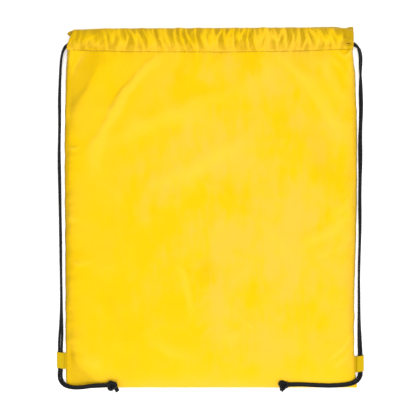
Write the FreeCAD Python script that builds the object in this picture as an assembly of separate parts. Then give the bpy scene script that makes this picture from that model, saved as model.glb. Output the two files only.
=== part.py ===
"""Drawstring backpack, lying flat on its back: cloth bag, two drawcords that are also its shoulder cords.

Millimetres. +Z is up off the surface, +Y runs to the mouth, +X is to the right of someone who looks down on
the front. The origin is on the surface, under the middle of the bag.
"""

import FreeCAD, Part
import math
import os

Vector = FreeCAD.Vector

# ---- driving dimensions ------------------------------------------------------------------------------------
BAG_WIDTH = 340.0            # across the side seams
BAG_HEIGHT = 420.0           # from the bottom fold to the top of the casing
MOUTH_WIDTH = 333.0          # length of the casing, drawn in a little by the cords
TAPER_LENGTH = 85.0          # stretch below the casing over which the sides come in to the mouth
CLOTH = 0.6                  # thickness that the cloth is given as a solid
CASING_DEPTH = 25.0          # the tunnel, from its stitch line to its fold
CASING_THICKNESS = 8.0       # the tunnel, from outside to outside, with the cords in it
CASING_RISE = 7.0            # depth over which the tunnel opens up from its stitch line
MOUTH_GAP = 6.0              # clear gap between the two casings
FRONT_DROP = 1.0             # how far the front casing's fold lies below the back casing's
SEWN_EDGE = 1.2              # two layers of cloth where the tunnel is sewn down
PANEL_GAP = 0.3              # between the front panel's rim and the back panel
CORD = 3.0                   # cord diameter
ALLOWANCE = 7.5              # width of the seam allowance inside the bag
ALLOWANCE_START = 4.5        # from the seam's fold to the allowance
ALLOWANCE_THICKNESS = 0.6
THREAD = 0.4                 # sewing thread
TAB_REACH = 10.0             # how far a tab stands out of the side seam
TAB_LENGTH = 19.0            # a tab, along the seam
TAB_THICKNESS = 4.6
TAB_GAP = 0.3                # from the seam's fold to the tab
LEFT_TAB_RISE = 32.0         # middle of the left tab, above the bottom fold
RIGHT_TAB_RISE = 28.0        # middle of the right tab, above the bottom fold
KNOT_LENGTH = 11.0
KNOT_WIDTH = 10.0
KNOT_HEIGHT = 8.0
TAIL_CORD = 2.8              # a tail, where the cut cord is pulled thin
TURN_WINDOW = 20.5           # opening in a casing's inner wall, for the cord that turns back at its end
TURN_WINDOW_WIDTH = 8.0
TURN_WINDOW_BELOW_FOLD = 3.4
STRAND_IN_TAB = 4.3          # from a tab's inner end to the middle of its inner strand
STRAND_SPACING = 3.4         # between the two strands in a tab
JOINT_GAP = 0.5              # between cord stretches on different bodies

# height of the front panel's outside above its rim, at each distance in from the seam
CROWN = [(0.0, 0.0), (6.0, 1.9), (20.0, 7.0), (50.0, 12.0), (90.0, None)]

# ---- derived places ----------------------------------------------------------------------------------------
HALF_WIDTH = BAG_WIDTH / 2
HALF_MOUTH = MOUTH_WIDTH / 2
BOTTOM = -BAG_HEIGHT / 2
TOP = BAG_HEIGHT / 2
STITCH_LINE = TOP - CASING_DEPTH
TAPER_START = STITCH_LINE - TAPER_LENGTH
FRONT_STITCH_LINE = STITCH_LINE - FRONT_DROP
FRONT_FLOOR = CASING_THICKNESS + MOUTH_GAP       # underside of the front casing
PANEL_TOP = FRONT_FLOOR + CLOTH
RIM_TOP = CLOTH + PANEL_GAP + CLOTH


def outline(inset, z, end):
    """The panel's outline up to its stitch line, moved in from the three sewn sides, as a wire at height z."""
    x, mouth, bottom = HALF_WIDTH - inset, HALF_MOUTH - inset, BOTTOM + inset
    corners = [(-x, bottom), (x, bottom), (x, TAPER_START), (mouth, end), (-mouth, end), (-x, TAPER_START)]
    points = [Vector(px, py, z) for px, py in corners]
    return Part.makePolygon(points + points[:1])


def back_panel():
    """A flat sheet on the surface."""
    return Part.Face(outline(0, 0, STITCH_LINE)).extrude(Vector(0, 0, CLOTH))


def crowned(drop):
    """The solid under the front panel's outside, or under its inside when it is dropped by the cloth."""
    rings = [(inset, (PANEL_TOP if rise is None else RIM_TOP + rise) - drop) for inset, rise in CROWN]
    wires = [outline(inset, z, FRONT_STITCH_LINE) for inset, z in rings]
    stack = Part.makeLoft(wires[:2], True, True)
    for lower, upper in zip(wires[1:], wires[2:]):
        stack = stack.fuse(Part.makeLoft([lower, upper], True, True))
    return stack.removeSplitter()


def front_panel():
    """A thin crowned shell, open at the bottom and at the mouth."""
    return crowned(0).cut(crowned(CLOTH)).removeSplitter()


def casing(z, window_on_top):
    """A flattened tunnel along the mouth, open at both ends, with a window for each cord's turn."""
    fold = CASING_THICKNESS / 2
    low, high = Vector(0, TOP - fold, z), Vector(0, TOP - fold, z + CASING_THICKNESS)
    sewn_low, sewn_high = Vector(0, STITCH_LINE, z), Vector(0, STITCH_LINE, z + SEWN_EDGE)
    open_high = Vector(0, STITCH_LINE + CASING_RISE, z + CASING_THICKNESS)
    edges = [
        Part.LineSegment(sewn_low, low).toShape(),
        Part.Arc(low, Vector(0, TOP, z + fold), high).toShape(),
        Part.LineSegment(high, open_high).toShape(),
        Part.LineSegment(open_high, sewn_high).toShape(),
        Part.LineSegment(sewn_high, sewn_low).toShape(),
    ]
    outer = Part.Wire(edges)
    inner = outer.makeOffset2D(-CLOTH)
    run = Vector(MOUTH_WIDTH, 0, 0)
    tunnel = Part.Face(outer).extrude(run).cut(Part.Face(inner).extrude(run))
    tunnel.translate(Vector(-HALF_MOUTH, 0, 0))
    wall = z + CASING_THICKNESS if window_on_top else z
    low_side = TOP - TURN_WINDOW_BELOW_FOLD - TURN_WINDOW_WIDTH
    for left in (-HALF_MOUTH - CLOTH, HALF_MOUTH - TURN_WINDOW):
        corner = Vector(left, low_side, wall - 2 * CLOTH)
        tunnel = tunnel.cut(Part.makeBox(TURN_WINDOW + CLOTH, TURN_WINDOW_WIDTH, 4 * CLOTH, corner))
    return tunnel


def front_casing():
    tunnel = casing(FRONT_FLOOR, False)
    tunnel.translate(Vector(0, -FRONT_DROP, 0))
    return tunnel


def seam_strip(side, start, width, z, thickness):
    """A strip along one side seam, start and width being distances in from its fold."""
    points = []
    for inset in (start, start + width):
        ends = [
            (HALF_WIDTH - inset, BOTTOM + ALLOWANCE_START + ALLOWANCE),
            (HALF_WIDTH - inset, TAPER_START),
            (HALF_MOUTH - inset, STITCH_LINE - 3 * THREAD),
        ]
        points += ends if inset == start else ends[::-1]
    corners = [Vector(side * px, py, z) for px, py in points]
    return Part.Face(Part.makePolygon(corners + corners[:1])).extrude(Vector(0, 0, thickness))


def bottom_strip(start, width, z, thickness):
    """A strip along the bottom seam."""
    corner = Vector(-HALF_WIDTH + start, BOTTOM + start, z)
    return Part.makeBox(BAG_WIDTH - 2 * start, width, thickness, corner)


def rounded_slab(length, thickness):
    """A stadium in the XZ plane, its left end at the origin and its foot on z = 0, as a wire."""
    radius = thickness / 2
    right = length - radius
    edges = [
        Part.LineSegment(Vector(radius, 0, 0), Vector(right, 0, 0)).toShape(),
        Part.Arc(Vector(right, 0, 0), Vector(length, 0, radius), Vector(right, 0, thickness)).toShape(),
        Part.LineSegment(Vector(right, 0, thickness), Vector(radius, 0, thickness)).toShape(),
        Part.Arc(Vector(radius, 0, thickness), Vector(0, 0, radius), Vector(radius, 0, 0)).toShape(),
    ]
    return Part.Wire(edges)


def tab(side, middle):
    """A loop of folded cloth that both strands of a cord run through, along Y."""
    outer = rounded_slab(TAB_REACH, TAB_THICKNESS)
    inner = outer.makeOffset2D(-CLOTH)
    run = Vector(0, TAB_LENGTH, 0)
    loop = Part.Face(outer).extrude(run).cut(Part.Face(inner).extrude(run))
    near = HALF_WIDTH + TAB_GAP
    loop.translate(Vector(near if side > 0 else -near - TAB_REACH, middle - TAB_LENGTH / 2, 0))
    return loop


def tab_tail(side, middle):
    """The tab's flat end, sewn into the side seam on top of the allowance, short of its stitches."""
    near = HALF_WIDTH - ALLOWANCE_START
    length = ALLOWANCE - 3 * THREAD
    x = near - length if side > 0 else -near
    corner = Vector(x, middle - TAB_LENGTH / 2, CLOTH + ALLOWANCE_THICKNESS)
    return Part.makeBox(length, TAB_LENGTH, CLOTH, corner)


# ---- cords -------------------------------------------------------------------------------------------------
def cord_path(points):
    """Straight runs joined by tangent arcs, each arc as large as its two runs allow."""
    places = [Vector(*p) for p in points]
    edges, radii = [], []
    start = places[0]
    for before, at, after in zip(places, places[1:], places[2:]):
        inward, outward = (at - before).normalize(), (after - at).normalize()
        half = inward.getAngle(outward) / 2
        reach = 0.45 * min((at - before).Length, (after - at).Length)
        radius = reach / math.tan(half)
        arc_start, arc_end = at - inward * reach, at + outward * reach
        bisector = (outward - inward).normalize()
        crest = at + bisector * (radius / math.cos(half) - radius)
        edges.append(Part.LineSegment(start, arc_start).toShape())
        edges.append(Part.Arc(arc_start, crest, arc_end).toShape())
        radii.append(radius)
        start = arc_end
    edges.append(Part.LineSegment(start, places[-1]).toShape())
    return Part.Wire(edges), radii


def cord(name, points, diameter=CORD):
    """A cord stretch as a round tube along its route, with its arc radii printed."""
    path, radii = cord_path(points)
    first = path.OrderedEdges[0]
    heading = first.tangentAt(first.FirstParameter)
    section = Part.Wire([Part.Circle(Vector(*points[0]), heading, diameter / 2).toShape()])
    tube = path.makePipeShell([section], True, False)
    expected = math.pi * diameter * diameter / 4 * path.Length
    listed = " ".join(f"{r:.1f}" for r in radii)
    print(f"{name}: length {path.Length:.1f}, volume ratio {tube.Volume / expected:.4f}, radii {listed}")
    return tube


LANE_LOW = 2.6               # height of a cord in its tunnel at the exit, above the tunnel's underside
LANE_HIGH = 4.0              # and at the turn
TURN_X = 152.2               # where the turn starts
UNDER = 2.3                  # heights at which the two cords cross inside a tunnel
OVER = 5.7

# The left drawcord's run through a tunnel, from its exit on the left to its turn on the right. Heights are
# above the tunnel's underside. The right drawcord's run is its mirror image, and crosses over it.
LANE_UNDER = [
    (-165.5, 190.4, LANE_LOW), (-157.0, 192.6, LANE_LOW), (-143.0, 194.0, 2.7), (-112.0, 194.6, 2.5),
    (-66.0, 195.6, 2.4), (-22.0, 196.7, UNDER), (20.0, 198.8, UNDER), (64.0, 200.4, 2.6), (106.0, 201.7, 3.3),
    (132.0, 202.3, 3.8), (TURN_X - JOINT_GAP, 202.6, LANE_HIGH),
]
LANE_OVER = [
    (-165.5, 190.4, LANE_LOW), (-157.0, 192.6, LANE_LOW), (-143.0, 194.0, 2.9), (-112.0, 194.8, 3.9),
    (-66.0, 195.8, 5.2), (-22.0, 196.8, OVER), (20.0, 198.6, OVER), (64.0, 200.2, 5.4), (106.0, 201.4, 4.7),
    (132.0, 202.2, 4.2), (TURN_X - JOINT_GAP, 202.6, LANE_HIGH),
]

# The turn at the far end, from the front casing down to the back casing. Heights are above the surface.
TURN = [
    (TURN_X, 202.6, FRONT_FLOOR + LANE_HIGH), (157.9, 202.7, FRONT_FLOOR + LANE_HIGH - 0.1),
    (162.0, 202.9, 13.8), (161.9, 202.9, 8.1), (157.8, 202.7, LANE_HIGH + 0.1), (TURN_X, 202.6, LANE_HIGH),
]

# Side strands, from their casing's end to the tab. The front strand drops off the front casing and lies
# on top of the back strand for most of the way.
LEFT_FRONT_STRAND = [
    (-166.5, 190.1, 16.5), (-169.5, 188.2, 15.7), (-172.2, 184.2, 13.0), (-174.4, 177.6, 9.4),
    (-175.9, 167.6, 6.5), (-176.7, 152.0, 5.1), (-178.0, 125.0, 4.8), (-177.3, 93.0, 4.9),
    (-178.4, 58.0, 4.8), (-177.4, 20.0, 4.9), (-176.6, -16.0, 4.8), (-176.1, -54.0, 4.9),
    (-175.3, -90.0, 4.8), (-174.9, -122.0, 4.5), (-174.0, -146.0, 3.6), (-174.5, -160.0, 2.6),
    (-174.6, -168.0, 2.3),
]
LEFT_BACK_STRAND = [
    (-166.4, 190.1, 2.7), (-169.6, 188.6, 2.5), (-173.0, 184.8, 2.1), (-175.4, 177.0, 1.8),
    (-176.4, 163.0, 1.6), (-177.2, 139.0, 1.6), (-177.0, 106.0, 1.6), (-177.8, 70.0, 1.6),
    (-176.9, 32.0, 1.6), (-176.6, -6.0, 1.6), (-175.8, -44.0, 1.6), (-175.9, -80.0, 1.6),
    (-175.5, -112.0, 1.6), (-176.6, -138.0, 1.7), (-178.1, -155.0, 2.1), (-178.0, -168.0, 2.3),
]
RIGHT_FRONT_STRAND = [
    (166.7, 190.0, 16.5), (169.6, 187.8, 15.6), (171.7, 183.4, 12.8), (172.8, 176.0, 9.2),
    (173.0, 164.0, 6.4), (174.6, 146.0, 5.1), (175.9, 119.0, 4.8), (174.2, 90.0, 4.9),
    (175.0, 58.0, 4.7), (173.4, 22.0, 4.9), (174.0, -14.0, 4.8), (172.8, -50.0, 4.9),
    (171.9, -84.0, 4.8), (172.1, -116.0, 4.6), (172.9, -142.0, 3.7), (174.3, -160.0, 2.6),
    (174.6, -172.0, 2.3),
]
RIGHT_BACK_STRAND = [
    (166.4, 190.1, 2.7), (170.0, 188.6, 2.5), (173.2, 184.4, 2.1), (174.9, 176.0, 1.8),
    (174.4, 160.0, 1.6), (173.2, 137.0, 1.6), (174.0, 108.0, 1.6), (172.5, 74.0, 1.6),
    (173.2, 38.0, 1.6), (172.6, 2.0, 1.6), (173.4, -34.0, 1.6), (172.2, -70.0, 1.6),
    (172.6, -104.0, 1.6), (174.8, -132.0, 1.7), (177.6, -154.0, 2.1), (178.0, -172.0, 2.3),
]

# Strands below a tab, from the tab to the knot. They swing in over the bag's bottom corner.
END_START = 3.0              # length of cord that stays with the tab below it
LEFT_END_OUTER = [
    (-178.2, -191.1, 2.5), (-178.6, -197.2, 2.9), (-176.6, -203.4, 3.6), (-171.6, -208.2, 4.2),
    (-163.0, -210.6, 4.6), (-152.0, -210.5, 4.7), (-141.0, -208.8, 4.9), (-130.0, -208.4, 5.2),
    (-119.6, -207.6, 6.2),
]
LEFT_END_INNER = [
    (-174.9, -191.2, 2.5), (-174.9, -196.6, 3.2), (-172.9, -201.9, 4.2), (-168.2, -205.7, 5.2),
    (-160.2, -207.3, 5.8), (-150.0, -206.8, 6.0), (-140.0, -205.4, 6.5), (-130.0, -205.0, 6.9),
    (-119.6, -204.6, 7.6),
]
RIGHT_END_OUTER = [
    (178.0, -195.2, 2.5), (178.0, -201.4, 2.9), (175.2, -207.0, 3.6), (169.0, -210.4, 4.4),
    (157.0, -210.9, 4.7), (138.0, -209.1, 4.9), (119.0, -207.7, 5.3), (103.0, -206.5, 5.7),
    (87.6, -207.2, 6.2),
]
RIGHT_END_INNER = [
    (174.5, -195.2, 2.5), (174.5, -200.6, 3.2), (172.0, -204.9, 4.3), (167.2, -207.2, 5.3),
    (156.0, -207.5, 5.9), (138.0, -205.7, 6.4), (120.0, -204.4, 6.9), (104.0, -203.3, 7.3),
    (87.6, -204.2, 7.8),
]
LEFT_KNOT = (-115.6, -206.2, 8.8)
RIGHT_KNOT = (83.6, -205.8, 8.8)
LEFT_TAILS = [
    [(-113.6, -208.4, 7.4), (-111.4, -211.6, 6.0), (-109.6, -215.4, 4.2)],
    [(-112.8, -206.0, 8.4), (-108.6, -208.6, 7.2), (-106.2, -212.4, 5.6)],
]
RIGHT_TAILS = [
    [(83.6, -208.0, 7.4), (82.8, -211.4, 6.0), (81.4, -214.8, 4.2)],
    [(81.2, -206.6, 8.4), (78.8, -209.6, 7.0), (77.0, -212.8, 5.4)],
]


def mirrored(points):
    return [(-x, y, z) for x, y, z in points]


def raised(points, height):
    return [(x, y, z + height) for x, y, z in points]


def tab_cords(side, middle):
    """The two strands inside a tab, and the short stretch below it that stays with the tab."""
    top, foot = middle + TAB_LENGTH / 2, middle - TAB_LENGTH / 2 - END_START
    strands = []
    inner = HALF_WIDTH + TAB_GAP + STRAND_IN_TAB
    for x in (inner, inner + STRAND_SPACING):
        start = Vector(side * x, foot, TAB_THICKNESS / 2)
        strands.append(Part.makeCylinder(CORD / 2, top - foot, start, Vector(0, 1, 0)))
    return Part.makeCompound(strands)


def knot(centre):
    """The knot's outer shape, a flattened ball."""
    ball = Part.makeSphere(1.0)
    scale = FreeCAD.Matrix()
    scale.scale(KNOT_LENGTH / 2, KNOT_WIDTH / 2, KNOT_HEIGHT / 2)
    shape = ball.transformGeometry(scale)
    shape.translate(Vector(*centre))
    return shape


def tails(name, routes):
    return Part.makeCompound([cord(f"{name} {i + 1}", route, TAIL_CORD) for i, route in enumerate(routes)])


# ---- the nodes ---------------------------------------------------------------------------------------------
def build():
    seam_top = CLOTH + ALLOWANCE_THICKNESS
    nodes = {
        "back_panel": back_panel(),
        "front_panel": front_panel(),
        "back_casing": casing(0, True),
        "front_casing": front_casing(),
        "bottom_seam": bottom_strip(ALLOWANCE_START, ALLOWANCE, CLOTH, ALLOWANCE_THICKNESS),
        "bottom_stitch": bottom_strip(ALLOWANCE_START + THREAD, THREAD, seam_top, THREAD),
    }
    thread_run = MOUTH_WIDTH - 4 * THREAD
    threads = (("back_casing_stitch", STITCH_LINE, CLOTH), ("front_casing_stitch", FRONT_STITCH_LINE, PANEL_TOP))
    for name, line, z in threads:
        corner = Vector(-thread_run / 2, line - 2 * THREAD, z)
        nodes[name] = Part.makeBox(thread_run, THREAD, THREAD, corner)

    for side, word, rise in ((-1, "left", LEFT_TAB_RISE), (1, "right", RIGHT_TAB_RISE)):
        middle = BOTTOM + rise
        nodes[f"{word}_side_seam"] = seam_strip(side, ALLOWANCE_START, ALLOWANCE, CLOTH, ALLOWANCE_THICKNESS)
        nodes[f"{word}_side_stitch"] = seam_strip(
            side, ALLOWANCE_START + ALLOWANCE - 2 * THREAD, THREAD, seam_top, THREAD
        )
        nodes[f"{word}_tab"] = tab(side, middle)
        nodes[f"{word}_tab_tail"] = tab_tail(side, middle)
        nodes[f"{word}_tab_cords"] = tab_cords(side, middle)

    lanes = {"left": LANE_UNDER, "right": mirrored(LANE_OVER)}
    for word, lane in lanes.items():
        for place, height in (("back", 0.0), ("front", FRONT_FLOOR)):
            name = f"{word}_drawcord_{place}_run"
            nodes[name] = cord(name, raised(lane, height))
    nodes["left_drawcord_turn"] = cord("left_drawcord_turn", TURN)
    nodes["right_drawcord_turn"] = cord("right_drawcord_turn", mirrored(TURN))

    stretches = {
        "left_cord_front_strand": LEFT_FRONT_STRAND,
        "left_cord_back_strand": LEFT_BACK_STRAND,
        "right_cord_front_strand": RIGHT_FRONT_STRAND,
        "right_cord_back_strand": RIGHT_BACK_STRAND,
        "left_cord_end_outer": LEFT_END_OUTER,
        "left_cord_end_inner": LEFT_END_INNER,
        "right_cord_end_outer": RIGHT_END_OUTER,
        "right_cord_end_inner": RIGHT_END_INNER,
    }
    for name, points in stretches.items():
        nodes[name] = cord(name, points)
    nodes["left_knot"] = knot(LEFT_KNOT)
    nodes["right_knot"] = knot(RIGHT_KNOT)
    nodes["left_knot_tails"] = tails("left_knot_tails", LEFT_TAILS)
    nodes["right_knot_tails"] = tails("right_knot_tails", RIGHT_TAILS)
    return nodes


def main():
    os.makedirs("parts", exist_ok=True)
    for name, shape in build().items():
        if not shape.isValid():
            raise ValueError(f"{name} is not a valid shape")
        shape.exportStep(f"parts/{name}.step")
        print(name, len(shape.Solids), "solid(s),", round(shape.Volume), "mm3")


main()
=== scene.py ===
"""A drawstring backpack lying flat on its back, made as cloth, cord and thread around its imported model.

Metres. +Z is up off the floor, +Y runs to the mouth and +X is to the right of someone who looks down on the
front. The origin is on the floor, under the middle of the bag.
"""

import math

import bmesh
import bpy
from bpy.props import FloatProperty, FloatVectorProperty, PointerProperty
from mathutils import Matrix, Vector, noise


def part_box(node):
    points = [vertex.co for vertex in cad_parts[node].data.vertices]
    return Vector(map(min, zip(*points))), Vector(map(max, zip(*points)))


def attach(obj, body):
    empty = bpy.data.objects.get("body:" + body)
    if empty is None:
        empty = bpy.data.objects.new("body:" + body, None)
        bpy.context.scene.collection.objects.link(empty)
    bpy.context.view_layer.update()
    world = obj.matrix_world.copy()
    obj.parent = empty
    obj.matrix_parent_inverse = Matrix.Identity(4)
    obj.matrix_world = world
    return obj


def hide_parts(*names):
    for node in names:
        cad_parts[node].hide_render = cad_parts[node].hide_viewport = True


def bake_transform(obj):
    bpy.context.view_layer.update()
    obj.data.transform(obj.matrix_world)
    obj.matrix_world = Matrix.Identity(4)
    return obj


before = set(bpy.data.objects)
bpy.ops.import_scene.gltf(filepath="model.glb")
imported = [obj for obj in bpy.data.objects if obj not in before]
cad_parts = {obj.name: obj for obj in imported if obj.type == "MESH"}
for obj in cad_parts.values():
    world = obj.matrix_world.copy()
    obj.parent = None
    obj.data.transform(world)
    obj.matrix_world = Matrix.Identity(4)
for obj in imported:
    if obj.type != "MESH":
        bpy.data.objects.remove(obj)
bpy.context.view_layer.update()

bl_info = {
    "name": "Drawstring Backpack",
    "version": (1, 0, 0),
    "blender": (4, 5, 0),
    "location": "3D View > Sidebar > Backpack",
    "description": "Makes a drawstring backpack lying flat, with its cords, knots, tabs and stitches",
    "category": "Add Mesh",
}

# ---- cord routes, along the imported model's tubes -------------------------------------------------------------
# Through a tunnel, from the left drawcord's exit to its turn. Heights are above the tunnel's underside. The
# right drawcord's run is its mirror image, and crosses over it.
LANE_UNDER = [
    (-0.1655, 0.1904, 0.0026), (-0.157, 0.1926, 0.0026), (-0.143, 0.194, 0.0027), (-0.112, 0.1946, 0.0025),
    (-0.066, 0.1956, 0.0024), (-0.022, 0.1967, 0.0023), (0.02, 0.1988, 0.0023), (0.064, 0.2004, 0.0026),
    (0.106, 0.2017, 0.0033), (0.132, 0.2023, 0.0038), (0.1517, 0.2026, 0.004),
]
LANE_OVER = [
    (-0.1655, 0.1904, 0.0026), (-0.157, 0.1926, 0.0026), (-0.143, 0.194, 0.0029), (-0.112, 0.1948, 0.0039),
    (-0.066, 0.1958, 0.0052), (-0.022, 0.1968, 0.0057), (0.02, 0.1986, 0.0057), (0.064, 0.2002, 0.0054),
    (0.106, 0.2014, 0.0047), (0.132, 0.2022, 0.0042), (0.1517, 0.2026, 0.004),
]
TURN = [
    (0.1522, 0.2026, 0.018), (0.1579, 0.2027, 0.0179), (0.162, 0.2029, 0.0138), (0.1619, 0.2029, 0.0081),
    (0.1578, 0.2027, 0.0041), (0.1522, 0.2026, 0.004),
]
LEFT_FRONT_STRAND = [
    (-0.1665, 0.1901, 0.0165), (-0.1695, 0.1882, 0.0157), (-0.1722, 0.1842, 0.013),
    (-0.1744, 0.1776, 0.0094), (-0.1759, 0.1676, 0.0065), (-0.1767, 0.152, 0.0051),
    (-0.178, 0.125, 0.0048), (-0.1773, 0.093, 0.0049), (-0.1784, 0.058, 0.0048), (-0.1774, 0.02, 0.0049),
    (-0.1766, -0.016, 0.0048), (-0.1761, -0.054, 0.0049), (-0.1753, -0.09, 0.0048),
    (-0.1749, -0.122, 0.0045), (-0.174, -0.146, 0.0036), (-0.1750, -0.16, 0.0026),
    (-0.1750, -0.168, 0.0023),
]
LEFT_BACK_STRAND = [
    (-0.1664, 0.1901, 0.0027), (-0.1696, 0.1886, 0.0025), (-0.173, 0.1848, 0.0021),
    (-0.1754, 0.177, 0.0018), (-0.1764, 0.163, 0.0016), (-0.1772, 0.139, 0.0016), (-0.177, 0.106, 0.0016),
    (-0.1778, 0.07, 0.0016), (-0.1769, 0.032, 0.0016), (-0.1766, -0.006, 0.0016),
    (-0.1758, -0.044, 0.0016), (-0.1759, -0.08, 0.0016), (-0.1755, -0.112, 0.0016),
    (-0.1766, -0.138, 0.0017), (-0.1781, -0.155, 0.0021), (-0.178, -0.168, 0.0023),
]
RIGHT_FRONT_STRAND = [
    (0.1667, 0.19, 0.0165), (0.1696, 0.1878, 0.0156), (0.1712, 0.1834, 0.0128), (0.1728, 0.176, 0.0092),
    (0.173, 0.164, 0.0064), (0.1746, 0.146, 0.0051), (0.1759, 0.119, 0.0048), (0.1742, 0.09, 0.0049),
    (0.175, 0.058, 0.0047), (0.1734, 0.022, 0.0049), (0.174, -0.014, 0.0048), (0.1728, -0.05, 0.0049),
    (0.1719, -0.084, 0.0048), (0.1721, -0.116, 0.0046), (0.1717, -0.142, 0.0042), (0.1719, -0.16, 0.0034),
    (0.1724, -0.172, 0.0023),
]
RIGHT_BACK_STRAND = [
    (0.1664, 0.1901, 0.0027), (0.17, 0.1886, 0.0025), (0.1736, 0.1846, 0.0021), (0.1754, 0.176, 0.0018),
    (0.1744, 0.16, 0.0016), (0.1732, 0.137, 0.0016), (0.174, 0.108, 0.0016), (0.1725, 0.074, 0.0016),
    (0.1732, 0.038, 0.0016), (0.1726, 0.002, 0.0016), (0.1734, -0.034, 0.0016), (0.1722, -0.07, 0.0016),
    (0.1726, -0.104, 0.0016), (0.1729, -0.132, 0.0017), (0.1742, -0.154, 0.0020), (0.1753, -0.172, 0.0023),
]
LEFT_END_OUTER = [
    (-0.1782, -0.1911, 0.0025), (-0.1786, -0.1972, 0.0029), (-0.1766, -0.2034, 0.0036),
    (-0.1716, -0.2082, 0.0042), (-0.163, -0.2106, 0.0046), (-0.152, -0.2105, 0.0047),
    (-0.141, -0.2088, 0.0049), (-0.13, -0.2084, 0.0052), (-0.1196, -0.2076, 0.0062),
]
LEFT_END_INNER = [
    (-0.1752, -0.1912, 0.0025), (-0.1756, -0.1966, 0.0032), (-0.1738, -0.2023, 0.0042),
    (-0.1695, -0.2063, 0.0050), (-0.1618, -0.2084, 0.0058), (-0.151, -0.2082, 0.0062),
    (-0.14, -0.2064, 0.0067), (-0.13, -0.2056, 0.0074), (-0.1196, -0.2052, 0.0086),
]
RIGHT_END_OUTER = [
    (0.1753, -0.1952, 0.0025), (0.1740, -0.1988, 0.0029), (0.1712, -0.2024, 0.0036), (0.1660, -0.2055, 0.0044),
    (0.1565, -0.2076, 0.0047), (0.138, -0.2086, 0.0049), (0.119, -0.2077, 0.0053), (0.103, -0.2065, 0.0060),
    (0.0876, -0.2072, 0.0062),
]
RIGHT_END_INNER = [
    (0.1724, -0.1952, 0.0025), (0.1713, -0.1978, 0.0032), (0.1686, -0.2004, 0.0045),
    (0.1640, -0.2031, 0.0056), (0.1555, -0.2051, 0.0065), (0.138, -0.2061, 0.0070), (0.12, -0.2053, 0.0077),
    (0.104, -0.2041, 0.0084), (0.0876, -0.2046, 0.0082),
]
LEFT_TAILS = [
    [(-0.1150, -0.2070, 0.0074), (-0.1120, -0.2114, 0.0064), (-0.1099, -0.2152, 0.0044)],
    [(-0.1128, -0.2060, 0.0084), (-0.1098, -0.2092, 0.0076), (-0.1082, -0.2136, 0.0064)],
]
RIGHT_TAILS = [
    [(0.0840, -0.2070, 0.0074), (0.0834, -0.2110, 0.0060), (0.0822, -0.2146, 0.0044)],
    [(0.0816, -0.2066, 0.0084), (0.0808, -0.2096, 0.0076), (0.0806, -0.2132, 0.0064)],
]
LEFT_KNOT = (-0.1156, -0.2068, 0.0104)
RIGHT_KNOT = (0.0836, -0.2060, 0.0096)

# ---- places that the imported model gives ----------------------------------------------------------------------
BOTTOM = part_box("back_panel")[0].y
FRONT_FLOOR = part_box("front_casing")[0].z
PANEL_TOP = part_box("front_panel")[1].z
CLOTH_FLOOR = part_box("left_side_seam")[0].z
THREAD_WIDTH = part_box("front_casing_stitch")[1].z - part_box("front_casing_stitch")[0].z

# half the bag's width at heights up the bag, left and right
LEFT_EDGE = [(-0.210, 0.1699), (-0.119, 0.1706), (0.068, 0.1716), (0.150, 0.1706), (0.192, 0.1682)]
RIGHT_EDGE = [
    (-0.210, 0.1702), (-0.200, 0.1689), (-0.185, 0.1673), (-0.150, 0.1667), (-0.119, 0.1669), (0.020, 0.1699),
    (0.090, 0.1701), (0.150, 0.1684), (0.192, 0.1646),
]

# along the mouth: how far each casing's fold is up the bag, and how strongly its cloth is drawn in
FRONT_FOLD = [(-0.166, 0.2078), (-0.12, 0.2090), (0.0, 0.2096), (0.10, 0.2101), (0.166, 0.2094)]
BACK_FOLD = [
    (-0.166, 0.2085), (-0.12, 0.2100), (0.0, 0.2104), (0.10, 0.2112),
    (0.143, 0.2119), (0.155, 0.2106), (0.164, 0.2121),
]
DRAWN_IN = [(-0.166, 0.3), (-0.09, 0.7), (-0.03, 1.0), (0.10, 1.0), (0.148, 0.6), (0.156, 0.0)]

# half the back casing's width at its left end, by shares of its depth: a corner sticks out near the fold
BACK_LEFT_END = [(0.0, 0.1655), (0.5, 0.1640), (0.62, 0.1645), (0.78, 0.1684), (0.86, 0.1668), (1.0, 0.1600)]

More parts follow.
